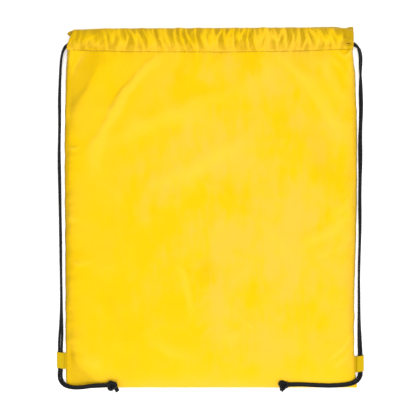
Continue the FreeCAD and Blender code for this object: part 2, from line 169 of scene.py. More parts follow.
# folds and creases in the front of the bag: their lines, heights and half widths
FOLDS = [
    (
        [(-0.056, 0.182), (-0.080, 0.158), (-0.100, 0.138), (-0.113, 0.120), (-0.125, 0.096), (-0.134, 0.068)],
        0.0023, 0.0059,
    ),
    ([(-0.124, 0.104), (-0.136, 0.066), (-0.142, 0.024)], 0.0007, 0.0095),
    ([(-0.100, 0.183), (-0.128, 0.158), (-0.150, 0.128), (-0.166, 0.100)], 0.0012, 0.0084),
    ([(-0.130, 0.190), (-0.146, 0.168), (-0.160, 0.138), (-0.168, 0.108)], -0.0034, 0.0162),
    ([(-0.150, 0.182), (-0.158, 0.166), (-0.165, 0.148)], 0.0012, 0.0030),
    (
        [(0.066, 0.150), (0.020, 0.136), (-0.014, 0.124), (-0.060, 0.106), (-0.110, 0.083), (-0.155, 0.058)],
        0.0011, 0.0121,
    ),
    ([(0.052, 0.082), (0.010, 0.066), (-0.030, 0.044), (-0.060, 0.028), (-0.096, 0.018)], 0.0011, 0.0121),
    (
        [(0.056, 0.036), (0.032, 0.004), (0.012, -0.030), (-0.006, -0.062), (-0.016, -0.098), (-0.016, -0.134)],
        -0.0006, 0.0128,
    ),
    ([(-0.038, -0.038), (-0.032, -0.074), (-0.026, -0.104), (-0.020, -0.134)], 0.0010, 0.0057),
    ([(0.098, 0.100), (0.118, 0.072), (0.132, 0.036), (0.146, 0.002)], -0.0007, 0.0142),
    ([(0.070, 0.182), (0.100, 0.158), (0.126, 0.122), (0.145, 0.094), (0.164, 0.060)], 0.0011, 0.0095),
    ([(0.116, 0.182), (0.134, 0.160), (0.150, 0.126)], 0.0007, 0.0068),
    ([(-0.142, -0.074), (-0.122, -0.106), (-0.102, -0.138), (-0.080, -0.168)], -0.0008, 0.0084),
    ([(-0.166, -0.086), (-0.140, -0.108), (-0.120, -0.142)], 0.0006, 0.0108),
    ([(-0.169, -0.140), (-0.152, -0.172), (-0.124, -0.206)], 0.0016, 0.0115),
    ([(-0.176, -0.140), (-0.164, -0.186), (-0.136, -0.218)], -0.0030, 0.0150),
    ([(0.024, -0.112), (0.038, -0.130), (0.056, -0.147)], 0.0008, 0.0036),
    ([(0.050, -0.130), (0.030, -0.144), (0.008, -0.152)], 0.0006, 0.0061),
    ([(0.134, -0.178), (0.152, -0.165), (0.169, -0.147)], 0.0013, 0.0026),
    ([(0.142, -0.186), (0.156, -0.176), (0.168, -0.163)], 0.0008, 0.0028),
    ([(0.104, -0.046), (0.140, -0.026), (0.168, 0.008)], 0.0011, 0.0076),
    ([(0.122, -0.060), (0.148, -0.046), (0.168, -0.026)], 0.0009, 0.0061),
    ([(0.136, -0.010), (0.152, 0.000), (0.168, 0.022)], 0.0007, 0.0036),
    ([(0.050, -0.006), (0.074, -0.036), (0.108, -0.084)], 0.0007, 0.0081),
    ([(-0.116, -0.002), (-0.111, -0.020), (-0.108, -0.040)], 0.0006, 0.0035),
    ([(0.143, 0.184), (0.155, 0.172), (0.166, 0.155)], 0.0012, 0.0028),
    ([(0.136, 0.176), (0.150, 0.162), (0.165, 0.142)], 0.0010, 0.0032),
    ([(-0.024, 0.180), (-0.038, 0.160), (-0.048, 0.136)], -0.0010, 0.0081),
    ([(0.014, 0.182), (0.006, 0.168), (0.000, 0.150)], 0.0006, 0.0061),
    ([(0.050, 0.181), (0.060, 0.166), (0.068, 0.148)], 0.0006, 0.0061),
    ([(-0.171, 0.074), (-0.160, 0.069), (-0.148, 0.070)], 0.0009, 0.0028),
    ([(-0.171, -0.006), (-0.160, -0.012), (-0.150, -0.012)], 0.0007, 0.0028),
    ([(-0.170, -0.060), (-0.156, -0.066), (-0.140, -0.062)], 0.0007, 0.0034),
    ([(-0.080, -0.150), (-0.050, -0.164), (-0.010, -0.170)], 0.0007, 0.0101),
    ([(0.080, -0.096), (0.112, -0.132), (0.150, -0.160)], -0.0004, 0.0135),
    ([(0.1670, 0.1905), (0.1610, 0.1945), (0.1540, 0.1970)], 0.0022, 0.0021),
    ([(0.1670, 0.1885), (0.1605, 0.1893), (0.1540, 0.1905)], -0.0030, 0.0020),
    ([(0.1670, 0.1840), (0.1610, 0.1800), (0.1540, 0.1740)], 0.0020, 0.0024),
    ([(0.1548, 0.2085), (0.1545, 0.2020), (0.1546, 0.1930)], -0.0012, 0.0012),
]

# noise_vector starts from the clock unless it is given a seed, and the cloth would differ from run to run
NOISE_SEED = 1795117134
noise.seed_set(NOISE_SEED)

# this fold height scales the painted highlight on fold tops and the painted shade in their hollows
FOLD_SHADE_HEIGHT = 0.0016  # lift at which a fold's cloth is at its palest

WEAVE_ANGLE = 12566.0  # radians to a metre of cloth, for 2000 threads
BRAID_PITCH = 0.002  # length of cord in which a strand of the braid goes round once

# a casing's outline across the mouth, as shares of its depth and heights above its floor
CASING_SECTION = [
    (0.0, 0.0, 0.0009), (0.0, 0.10, 0.0030), (0.0, 0.24, 0.0064), (0.0, 0.42, 0.0083), (0.0, 0.60, 0.0082),
    (0.0, 0.78, 0.0071), (0.0, 0.93, 0.0052), (0.0, 1.0, 0.0034), (0.0, 0.99, 0.0014), (0.0, 0.90, 0.0004),
    (0.0, 0.70, 0.0003), (0.0, 0.40, 0.0003), (0.0, 0.15, 0.0003), (0.0, 0.02, 0.0004),
]

# a tab's outline around its two cords, seen along them, from inside the seam round and back, on the right side
TAB_SECTION = [
    (0.1675, 0.0, 0.00115), (0.1700, 0.0, 0.00100), (0.1722, 0.0, 0.00045), (0.1750, 0.0, 0.00030),
    (0.1788, 0.0, 0.00030), (0.1806, 0.0, 0.0010), (0.1808, 0.0, 0.0036), (0.1789, 0.0, 0.00485),
    (0.1750, 0.0, 0.00490), (0.1728, 0.0, 0.00480), (0.1718, 0.0, 0.00340), (0.1711, 0.0, 0.00180),
    (0.1675, 0.0, 0.00165),
]

# a tight overhand knot's loops, about its middle
KNOT_LOOPS = [
    (0.0002, 0.0014, 0.0001), (0.0030, 0.0030, 0.0016), (0.0041, 0.0002, 0.0009), (0.0022, -0.0024, -0.0014),
    (-0.0011, -0.0012, -0.0017), (-0.0034, 0.0010, 0.0006), (-0.0030, 0.0034, 0.0018), (-0.0004, 0.0036, 0.0006),
    (0.0016, 0.0012, -0.0016), (0.0012, -0.0022, -0.0008), (-0.0008, -0.0040, 0.0010), (-0.0033, -0.0030, 0.0019),
    (-0.0030, 0.0002, 0.0002), (-0.0010, 0.0018, -0.0012),
]


def smooth(share):
    """0 to 1 with a gentle start and end, held beyond them."""
    share = min(max(share, 0.0), 1.0)
    return share * share * (3 - 2 * share)


def between(stops, at):
    """A value read smoothly off (place, value) stops."""
    for (start, low), (end, high) in zip(stops, stops[1:]):
        if at <= end:
            return low + (high - low) * smooth((at - start) / (end - start))
    return stops[-1][1]


def half_width(x, y):
    """From the middle to the bag's edge on x's side, with the small puckers of its seam."""
    stops = RIGHT_EDGE if x > 0 else LEFT_EDGE
    return between(stops, y) + 0.0005 * noise.noise(Vector((2.0 if x > 0 else 7.0, y * 75, 0.0)))


def stitch_line(x):
    """The front casing's stitch line, which sags towards the middle of the mouth."""
    share = x / 0.166
    return 0.1816 + 0.0030 * share * share + 0.0005 * share + 0.0004 * noise.noise(Vector((x * 18, 4.0, 0.0)))


def gather(x, y, seed):
    """0 to 1, standing up in narrow slanting ridges along a drawn-in edge."""
    x += 0.12 * (y - 0.197) + 0.0022 * math.sin((y - 0.186) * 150 + x * 30)
    ridge = 1 - 2.2 * abs(noise.noise(Vector((x * 120, seed, (y - 0.197) * 22))))
    fine = 1 - 2.6 * abs(noise.noise(Vector((x * 260, seed + 5, (y - 0.197) * 40))))
    return (0.2 + 0.8 * between(DRAWN_IN, x)) * (0.8 * max(ridge, 0.0) ** 2 + 0.4 * max(fine, 0.0) ** 2)


def wander(x, y, seed):
    """How far a fold strays from its line."""
    broad = noise.noise(Vector((x * 22, y * 22, seed)))
    fine = noise.noise(Vector((x * 70, y * 70, seed + 1)))
    return 0.0050 * broad + 0.0016 * fine


def fold_relief(x, y):
    """How far the folds lift the cloth: each wanders a little, is sharper on one side, and fades at its ends."""
    x, y = x + wander(x, y, 11.0), y + wander(x, y, 21.0)
    total = 0.0
    for line, height, width in FOLDS:
        nearest, share, side = 9 * width * width, 0.0, 1.0
        for at, ((ax, ay), (bx, by)) in enumerate(zip(line, line[1:])):
            run_x, run_y = bx - ax, by - ay
            along = ((x - ax) * run_x + (y - ay) * run_y) / (run_x * run_x + run_y * run_y)
            held = min(max(along, 0.0), 1.0)
            away = (x - ax - held * run_x) ** 2 + (y - ay - held * run_y) ** 2
            if away < nearest:
                nearest, share = away, (at + held) / (len(line) - 1)
                side = (x - ax) * run_y - (y - ay) * run_x
        if nearest < 9 * width * width:
            near = width * (0.75 if side > 0 else 1.25)
            fade = math.sin(math.pi * min(max(share, 0.02), 0.98)) ** 0.7
            total += height * fade * math.exp(-nearest / (near * near))
    return total


def crumple(x, y):
    """Long, shallow creases that meet at angles, as thin stiff cloth takes when it lies loose."""
    x, y = x + 0.35 * y, y - 0.15 * x
    bent = Vector((x * 11, y * 7, 2.0)) + 0.6 * noise.noise_vector(Vector((x * 16, y * 16, 4.0)))
    small = Vector((x * 27, y * 20, 6.0)) + 0.5 * noise.noise_vector(Vector((x * 40, y * 40, 8.0)))
    return 0.0024 * (0.25 - abs(noise.noise(bent))) + 0.0010 * (0.25 - abs(noise.noise(small)))


def swell(inset, reach):
    """Share of its full height that the front panel has at a distance in from a seam."""
    return 1 - (1 - min(max(inset, 0.0) / reach, 1.0)) ** 6.5


def front_height(x, y):
    """Height of the front panel's outside."""
    inset = half_width(x, y) - abs(x)
    reach = 0.090 - 0.080 * smooth((y - 0.100) / 0.084)
    share = swell(inset, reach) * swell(y - BOTTOM, 0.080)
    rim = CLOTH_FLOOR + 0.0006
    relief = fold_relief(x, y) + crumple(x, y)
    pucker = noise.noise(Vector((9.0 if x > 0 else 3.0, y * 62, 0.0)))
    pucker += 0.5 * noise.noise(Vector((1.0, y * 140, x * 20)))
    relief += 0.0016 * pucker * math.exp(-inset / 0.011)
    below = stitch_line(x) - y
    relief += 0.0019 * (gather(x, stitch_line(x), 3.1) - 0.2) * math.exp(-max(below, 0.0) / 0.012)
    fold = cloth().fold_scale * relief * smooth(inset / 0.007) * smooth((y - BOTTOM) / 0.006)
    return rim + (PANEL_TOP - rim - 0.0004) * share + fold


# ---- settings ------------------------------------------------------------------------------------------------
def colour_setting(name, description, default):
    return FloatVectorProperty(name=name, description=description, default=default, subtype="COLOR", size=3)


class BackpackCloth(bpy.types.PropertyGroup):
    thickness: FloatProperty(
        name="Thickness", description="Thickness of one layer of cloth", default=0.0004, unit="LENGTH", precision=5
    )
    fold_scale: FloatProperty(
        name="Folds", description="How strongly the folds and puckers stand out", default=1.3, subtype="FACTOR"
    )
    gather_height: FloatProperty(
        name="Gathers", description="Height of the casing's gathers", default=0.0026, unit="LENGTH", precision=5
    )
    colour: colour_setting("Cloth", "The bag's cloth", (0.645, 0.400, 0.0008))
    # painted sheen: a paler, bluer cloth colour that stands in for light reflected off the weave
    sheen_colour: colour_setting(
        "Cloth in sheen", "The cloth where its weave catches the light", (0.650, 0.396, 0.034)
    )
    # painted highlight: the paler colour laid along the tops of folds
    painted_fold_highlight_colour: colour_setting("Cloth on folds", "The cloth along the top of a fold", (0.68, 0.445, 0.030))
    shade_colour: colour_setting("Cloth in shade", "The cloth in hollows and between gathers", (0.375, 0.222, 0.002))
    # the thread's own ochre, darkened into brown as painted shade of its stitch groove
    thread_and_groove_shade_colour: colour_setting("Thread", "Sewing thread", (0.15, 0.075, 0.003))


class BackpackCord(bpy.types.PropertyGroup):
    diameter: FloatProperty(
        name="Diameter", description="Thickness of the braided cord", unit="LENGTH", precision=5,
        default=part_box("left_tab_cords")[1].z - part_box("left_tab_cords")[0].z,
    )
    relief: FloatProperty(
        name="Braid relief", description="How far the braid's strands stand out", default=0.00009,
        unit="LENGTH", precision=6,
    )
    colour: colour_setting("Cord", "The braid's yarn", (0.0045, 0.0045, 0.0055))
    worn_colour: colour_setting("Worn cord", "The braid where it is rubbed", (0.013, 0.013, 0.015))


class BackpackStage(bpy.types.PropertyGroup):
    floor_colour: colour_setting("Floor", "The pale floor", (0.95, 0.95, 0.95))
    sky: FloatProperty(name="Sky", description="Soft light from all round", default=1.42, min=0)
    key: FloatProperty(name="Key light", description="Power of the large soft lamp", default=17.0, unit="POWER")
    frame_width: FloatProperty(
        name="Frame width", description="Width that the camera sees at the bag", default=0.4893, unit="LENGTH"
    )
    lens: FloatProperty(name="Lens", description="Focal length in millimetres", default=150.0, unit="CAMERA")


def cloth():
    return bpy.context.scene.backpack_cloth


def cord():
    return bpy.context.scene.backpack_cord


# ---- materials -----------------------------------------------------------------------------------------------
class Reading:
    """A value that changes over a surface. Sums and products of it add the Math nodes that work them out."""

    def __init__(self, finish, socket):
        self.finish = finish
        self.socket = socket

    def math(self, operation, *values):
        return self.finish.node("ShaderNodeMath", {"operation": operation}, dict(enumerate(values)))

    def __add__(self, other):
        return self.math("ADD", self, other)

    def __sub__(self, other):
        return self.math("SUBTRACT", self, other)

    def __rsub__(self, other):
        return self.math("SUBTRACT", other, self)

    def __mul__(self, other):
        return self.math("MULTIPLY", self, other)

    __radd__ = __add__
    __rmul__ = __mul__

    def sine(self):
        return self.math("SINE", self)

    def size(self):
        return self.math("ABSOLUTE", self)


class Finish:
    """A material and its nodes, around one Principled shader."""

    def __init__(self, name, **uniform):
        self.material = bpy.data.materials.new(name)
        self.material.use_nodes = True
        self.tree = self.material.node_tree
        self.shader = self.tree.nodes["Principled BSDF"]
        for socket, value in uniform.items():
            self.shader.inputs[socket.replace("_", " ")].default_value = value

    def node(self, kind, settings, inputs, output=0):
        """Add a node, with its settings made first, and read one of its outputs."""
        node = self.tree.nodes.new(kind)
        for name, value in settings.items():
            setattr(node, name, value)
        for name, value in inputs.items():
            if isinstance(value, Reading):
                self.tree.links.new(value.socket, node.inputs[name])
            else:
                node.inputs[name].default_value = value
        return Reading(self, node.outputs[output])

    def on(self, **readings):
        """Lead readings to the shader's sockets."""
        for name, reading in readings.items():
            self.tree.links.new(reading.socket, self.shader.inputs[name.replace("_", " ")])

    def place(self, kind="Object"):
        return self.node("ShaderNodeTexCoord", {}, {}, kind)

    def axes(self, vector):
        split = self.tree.nodes.new("ShaderNodeSeparateXYZ")
        self.tree.links.new(vector.socket, split.inputs[0])
        return [Reading(self, socket) for socket in split.outputs]

    def stretched(self, vector, scale):
        return self.node("ShaderNodeMapping", {}, {"Vector": vector, "Scale": scale})

    def noise(self, vector, scale, detail=2.0):
        return self.node(
            "ShaderNodeTexNoise", {}, {"Vector": vector, "Scale": scale, "Detail": detail, "Roughness": 0.55}
        )

    def range(self, value, low, high, to_low=0.0, to_high=1.0):
        stops = {1: low, 2: high, 3: to_low, 4: to_high}
        return self.node("ShaderNodeMapRange", {"interpolation_type": "SMOOTHSTEP"}, {"Value": value, **stops})

    def mix(self, share, one, other):
        """From one colour to the other as share goes from 0 to 1."""
        one, other = (c if isinstance(c, Reading) else (*c, 1) for c in (one, other))
        return self.node("ShaderNodeMix", {"data_type": "RGBA"}, {0: share, 6: one, 7: other}, 2)

    def bump(self, height, distance, strength=1.0, under=None):
        inputs = {"Height": height, "Distance": distance, "Strength": strength}
        if under:
            inputs["Normal"] = under
        return self.node("ShaderNodeBump", {}, inputs)


def made_once(build):
    """Keep the material that a function builds, so that pieces share it."""
    kept = {}

    def material():
        if "it" not in kept:
            kept["it"] = build()
        return kept["it"]

    return material


def taffeta(name, colour, sheen_colour, darker, gathered=None):
    """Plain-woven polyester: fine weave, small crinkles, painted sheen in patches, painted highlight on raised folds
    and on sides that lean towards the key lamp, painted shade in hollows and on sides that lean away.

    A gathered cloth takes painted shade between two distances up the bag, except on its ridges.
    """
    finish = Finish(
        name, Sheen_Weight=0.04, Sheen_Roughness=0.45, Specular_IOR_Level=0.2, Sheen_Tint=(1.0, 0.80, 0.10, 1.0),
        Specular_Tint=(1.0, 0.78, 0.12, 1.0),
    )
    place = finish.place()
    across, along, _ = finish.axes(finish.place("UV"))
    # painted sheen: noise patches and streaks of the sheen colour, kept mostly near the middle of the bag, a little
    # to its right
    patches = finish.noise(place, 16.0, 3.0)
    streaks = finish.noise(finish.stretched(place, (1.0, 0.35, 1.0)), 70.0, 2.0)
    sheen = finish.range(0.65 * patches + 0.35 * streaks, 0.40, 0.64)
    side, height, _ = finish.axes(place)
    far = 40 * (side - 0.05) * (side - 0.05) + 22 * height * height
    sheen = sheen * (1 - 0.8 * finish.range(far, 0.25, 1.3))
    rubbed = finish.range(finish.noise(place, 9.0, 4.0), 0.60, 0.78)
    base = finish.mix(sheen, colour, sheen_colour)
    base = finish.mix(rubbed * 0.4, base, darker)
    # painted shade where the cloth leans away from the key lamp, painted highlight in the sheen colour where it
    # leans towards it
    lean = finish.node("ShaderNodeAttribute", {"attribute_name": "lean"}, {}, "Fac")
    base = finish.mix(finish.range(0 - lean, 0.14, 0.70) * 0.8, base, cloth().shade_colour)
    base = finish.mix(finish.range(lean, 0.10, 0.50) * 0.4, base, sheen_colour)
    # painted highlight along the tops of folds and painted shade in their hollows, from the lift attribute
    lift = finish.node("ShaderNodeAttribute", {"attribute_name": "lift"}, {}, "Fac")
    base = finish.mix(finish.range(lift, 0.05, 0.9) * 0.5, base, cloth().painted_fold_highlight_colour)
    base = finish.mix(finish.range(0 - lift, 0.15, 1.3) * 0.33, base, cloth().shade_colour)
    if gathered:
        # painted shade on the casing between two distances up the bag, left off the gathers' ridges
        drawn = finish.noise(finish.stretched(place, (1.0, 0.22, 1.0)), 130.0, 4.0)
        ridge = finish.node("ShaderNodeAttribute", {"attribute_name": "gather"}, {}, "Fac")
        painted_gather_shade = finish.range(height + 0.026 * drawn, *gathered) * (1 - finish.range(ridge, 0.10, 0.60))
        base = finish.mix(painted_gather_shade * 0.9, base, cloth().shade_colour)
    weave = (across * WEAVE_ANGLE).sine() * (along * WEAVE_ANGLE).sine()
    slubs = finish.noise(finish.stretched(place, (1.0, 0.06, 1.0)), 900.0, 1.0)
    crinkle = finish.noise(place, 130.0, 3.0)
    normal = finish.bump(crinkle, 0.0009, 0.5)
    normal = finish.bump(weave * 0.5 + slubs * 0.5, 0.00006, 0.6, normal)
    finish.on(
        Base_Color=base,
        Roughness=finish.range(crinkle + 0.3 * weave, 0.2, 0.9, 0.42, 0.58),
        Normal=normal,
    )
    return finish.material


@made_once
def panel_cloth():
    return taffeta("yellow_taffeta", cloth().colour, cloth().sheen_colour, (0.63, 0.405, 0.0008))


@made_once
def casing_cloth():
    # the front casing takes painted shade from 0.1905 to 0.2080 up the bag
    return taffeta("gathered_taffeta", cloth().colour, cloth().sheen_colour, (0.54, 0.33, 0.002), (0.1905, 0.2080))


@made_once
def back_casing_cloth():
    """The back casing's cloth, which lies in the front casing's shade: all its colours are darker, as painted shade,
    with more painted shade in a band up the bag.
    """
    return taffeta(
        "gathered_taffeta_back_painted_shade", (0.52, 0.32, 0.002), (0.55, 0.34, 0.010), (0.42, 0.25, 0.002), (0.1880, 0.2110)
    )


@made_once
def inside_cloth():
    return taffeta("taffeta_wrong_side", (0.62, 0.40, 0.004), (0.60, 0.38, 0.010), (0.50, 0.31, 0.002))


@made_once
def tab_cloth():
    return taffeta("tab_taffeta", (0.43, 0.285, 0.002), (0.48, 0.31, 0.010), (0.32, 0.20, 0.003))


@made_once
def braid():
    """Matt black braid, paler where it is rubbed, with the yarn's twist across its strands."""
    finish = Finish("black_braid", Specular_IOR_Level=0.12)
    place = finish.place()
    around, along, _ = finish.axes(finish.place("UV"))
    lean = along * 3142.0
    strands = (around * 37.7 + lean).sine() * (around * 37.7 - lean).sine()
    yarn = (around * 226.0 + along * 9425.0).sine().size()
    worn = finish.range(finish.noise(place, 260.0, 3.0) + 0.25 * strands, 0.45, 0.85)
    finish.on(
        Base_Color=finish.mix(worn, cord().colour, cord().worn_colour),
        Roughness=finish.range(worn, 0.0, 1.0, 0.62, 0.78),
        Normal=finish.bump(strands * 0.7 + yarn * 0.3, 0.00008, 0.8),
    )
    return finish.material


@made_once
def sewing_thread():
    """Two-ply polyester thread: its own ochre, darkened into brown as painted shade of the stitch groove it lies in.
    """
    finish = Finish("ochre_thread", Specular_IOR_Level=0.4)
    place = finish.place()
    x, y, _ = finish.axes(place)
    ply = ((x + y) * 9000.0).sine()
    tone = finish.noise(place, 400.0, 2.0)
    finish.on(
        Base_Color=finish.mix(tone, cloth().thread_and_groove_shade_colour, (0.26, 0.15, 0.004)),
        Roughness=finish.range(tone, 0.2, 0.8, 0.45, 0.6),
        Normal=finish.bump(ply, 0.00005, 0.7),
    )
    return finish.material


@made_once
def pale_floor():
    """A pale floor with a faint glow of its own, so that it stays even under the bag's edges."""
    finish = Finish(
        "pale_floor", Specular_IOR_Level=0.1, Emission_Color=(1.0, 1.0, 1.0, 1.0), Emission_Strength=0.15
    )
    colour = bpy.context.scene.backpack_stage.floor_colour
    tone = finish.noise(finish.place(), 3.0, 2.0)
    finish.on(
        Base_Color=finish.mix(tone, colour, tuple(0.985 * c for c in colour)),
        Roughness=finish.range(tone, 0.3, 0.7, 0.75, 0.85),
    )
    return finish.material


# ---- building ------------------------------------------------------------------------------------------------
def shaped_grid(columns, rows, place, size):
    """A grid of cloth as cut, with each vertex put where place says for its shares across and along."""
    bm = bmesh.new()
    bmesh.ops.create_grid(bm, x_segments=columns, y_segments=rows, size=0.5)
    cut = bm.loops.layers.uv.new("cut")
    for face in bm.faces:
        for loop in face.loops:
            loop[cut].uv = ((loop.vert.co.x + 0.5) * size[0], (loop.vert.co.y + 0.5) * size[1])
    for vert in bm.verts:
        vert.co = place(vert.co.x + 0.5, vert.co.y + 0.5)
    bm.normal_update()
    return bm


def add_piece(name, bm, material):
    mesh = bpy.data.meshes.new(name)
    bm.to_mesh(mesh)
    bm.free()
    mesh.materials.append(material)
    mesh.shade_smooth()
    piece = bpy.data.objects.new(name, mesh)
    bpy.context.scene.collection.objects.link(piece)
    return piece


def add_halves(name, bm, material):
    """A piece that crosses the middle, as a left and a right half that meet without a crease."""
    for vert in bm.verts:
        if abs(vert.co.x) < 0.0004:
            vert.co.x = 0
    bm.normal_update()
    kept = bm.verts.layers.float_vector.new("whole_normal")
    for vert in bm.verts:
        vert[kept] = vert.normal
    halves = []
    for side, word in ((-1, "left"), (1, "right")):
        half = bm.copy()
        away = [v for v in half.verts if v.co.x * side < -1e-5]
        bmesh.ops.delete(half, geom=away, context="VERTS")
        bmesh.ops.holes_fill(half, edges=[edge for edge in half.edges if edge.is_boundary], sides=0)
        layer = half.verts.layers.float_vector["whole_normal"]
        normals = [tuple(v[layer]) for v in half.verts]
        half.verts.layers.float_vector.remove(layer)
        piece = add_piece(f"{name}_{word}_half", half, material)
        piece.data.normals_split_custom_set_from_vertices(normals)
        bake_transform(piece)
        halves.append(piece)
    bm.free()
    return halves


def mark_folds(bm):
    """Record how high the folds lift the front panel's cloth, for its material, which paints a highlight along the
    folds' tops and shade in their hollows.
    """
    layer = bm.verts.layers.float.new("lift")
    for vert in bm.verts:
        x, y, _ = vert.co
        vert[layer] = (fold_relief(x, y) + 0.6 * crumple(x, y)) / FOLD_SHADE_HEIGHT


def mark_gathers(bm, seed):
    """Record where a casing's cloth stands up in a gather, for its material."""
    layer = bm.verts.layers.float.new("gather")
    for vert in bm.verts:
        vert[layer] = gather(vert.co.x, vert.co.y, seed)


def thickened(bm, thickness):
    """Give a sheet its thickness, and record how far it leans towards the key lamp's side (+X, -Y): its material
    paints shade where it leans away and a highlight where it leans towards the lamp.
    """
    bmesh.ops.solidify(bm, geom=bm.faces[:], thickness=thickness)
    bm.normal_update()
    layer = bm.verts.layers.float.new("lean")
    for vert in bm.verts:
        vert[layer] = 0.62 * vert.normal.x - 0.70 * vert.normal.y
    return bm


def route(points, cyclic=False):
    """The smooth line through a route, read from a NURBS spline with its points as control points."""
    curve = bpy.data.curves.new("route", "CURVE")
    curve.dimensions = "3D"
    curve.resolution_u = 16
    spline = curve.splines.new("NURBS")
    spline.points.add(len(points) - 1)
    for point, place in zip(spline.points, points):
        point.co = (*place, 1.0)
    spline.order_u = 3
    spline.use_endpoint_u = not cyclic
    spline.use_cyclic_u = cyclic
    holder = bpy.data.objects.new("route", curve)
    mesh = bpy.data.meshes.new_from_object(holder)
    line = [v.co.copy() for v in mesh.vertices]
    bpy.data.meshes.remove(mesh)
    bpy.data.objects.remove(holder)
    bpy.data.curves.remove(curve)
    if cyclic:
        line.append(line[0].copy())
    return line


def length_of(line):
    return sum((b - a).length for a, b in zip(line, line[1:]))


def evenly(line, step):
    """The same line with its points a step apart."""
    count = max(2, round(length_of(line) / step))
    spacing = length_of(line) / count
    found, walked, wanted = [line[0].copy()], 0.0, spacing
    for a, b in zip(line, line[1:]):
        run = (b - a).length
        while run > 0 and wanted <= walked + run and len(found) < count:
            found.append(a.lerp(b, (wanted - walked) / run))
            wanted += spacing
        walked += run
    found.append(line[-1].copy())
    return found


def frames(line):
    """A place, and two directions square to the line, at each of its points, with no twist between them."""
    headings = [(after - before).normalized() for before, after in zip([line[0]] + line, line[1:] + [line[-1]])]
    across = headings[0].orthogonal().normalized()
    found = []
    for place, before, heading in zip(line, headings[:1] + headings, headings):
        across = before.rotation_difference(heading) @ across
        found.append((place, across, heading.cross(across)))
    return found


def tube(line, diameter, step=0.0005, sides=24, relief=0.0, rounded_end=False):
    """A closed tube along a line, its skin raised where a braid's strands cross over."""
    line = evenly(line, step)
    stations = frames(line)
    last = len(stations) - 1
    total = length_of(line)

    def place(around, along):
        at = round(along * last)
        middle, across, up = stations[at]
        turn = 2 * math.pi * around
        lean = 2 * math.pi * at * total / last / BRAID_PITCH
        braid_height = relief * math.sin(6 * turn + lean / 2) * math.sin(6 * turn - lean / 2)
        radius = diameter / 2 - relief + braid_height
        if rounded_end:
            radius *= math.sqrt(max(0.05, 1 - max(0.0, (at - last + 3) / 3) ** 2))
        return middle + (across * math.cos(turn) + up * math.sin(turn)) * radius

    bm = shaped_grid(sides, last, place, (1.0, total))
    bmesh.ops.remove_doubles(bm, verts=bm.verts[:], dist=1e-6)
    rims = [edge for edge in bm.edges if edge.is_boundary]
    bmesh.ops.holes_fill(bm, edges=rims, sides=0)
    return bm


def joined(parts):
    """Several meshes as one."""
    whole = bmesh.new()
    whole.loops.layers.uv.new("cut")
    for part in parts:
        mesh = bpy.data.meshes.new("part")
        part.to_mesh(mesh)
        part.free()
        whole.from_mesh(mesh)
        bpy.data.meshes.remove(mesh)
    return whole


def stitches(line, pitch=0.0027):
    """A row of separate lockstitches along a line."""
    row = bmesh.new()
    row.loops.layers.uv.new("cut")
    line = evenly(line, pitch)
    for start, end in zip(line, line[1:]):
        made = bmesh.ops.create_icosphere(row, subdivisions=1, radius=1.0, calc_uvs=False)["verts"]
        heading = end - start
        bmesh.ops.scale(row, vec=(heading.length * 0.44, THREAD_WIDTH * 0.62, THREAD_WIDTH * 0.5), verts=made)
        turn = Vector((1, 0, 0)).rotation_difference(heading.normalized()).to_matrix()
        bmesh.ops.rotate(row, cent=(0, 0, 0), matrix=turn, verts=made)
        bmesh.ops.translate(row, vec=(start + end) / 2, verts=made)
    return row


def mirrored(points):
    return [(-x, y, z) for x, y, z in points]


def raised(points, height):
    return [(x, y, z + height) for x, y, z in points]


# ---- operators -----------------------------------------------------------------------------------------------
class BACKPACK_OT_stage(bpy.types.Operator):
    """Lay the pale floor, set the soft light and hang the camera straight above the bag"""

    bl_idname = "backpack.stage"
    bl_label = "Stage"

    def execute(self, context):
        stage = context.scene.backpack_stage
        bm = bmesh.new()
        bmesh.ops.create_grid(bm, x_segments=1, y_segments=1, size=4.0)
        bmesh.ops.translate(bm, vec=(0, 0, -0.0002), verts=bm.verts[:])
        mesh = bpy.data.meshes.new("floor")
        bm.to_mesh(mesh)
        bm.free()
        mesh.materials.append(pale_floor())
        floor = bpy.data.objects.new("floor", mesh)
        context.scene.collection.objects.link(floor)

        world = bpy.data.worlds.new("soft_sky")
        world.use_nodes = True
        world.node_tree.nodes["Background"].inputs["Color"].default_value = (1.0, 1.0, 1.0, 1.0)
        world.node_tree.nodes["Background"].inputs["Strength"].default_value = stage.sky
        context.scene.world = world
        context.scene.view_settings.view_transform = "Standard"
        context.scene.view_settings.look = "None"

        lamp = bpy.data.lights.new("key", "AREA")
        lamp.shape = "DISK"
        lamp.size = 1.8
        lamp.energy = stage.key
        key = bpy.data.objects.new("key", lamp)
        key.location = (0.30, -0.95, 1.75)
        key.rotation_euler = (Vector((0, 0, 0)) - key.location).to_track_quat("-Z", "Y").to_euler()
        context.scene.collection.objects.link(key)

        lens = bpy.data.cameras.new("camera")
        lens.lens = stage.lens
        camera = bpy.data.objects.new("camera", lens)
        camera.location = (-0.00175, -0.00233, 0.008 + stage.frame_width * stage.lens / lens.sensor_width)
        context.scene.collection.objects.link(camera)
        context.scene.camera = camera
        return {"FINISHED"}


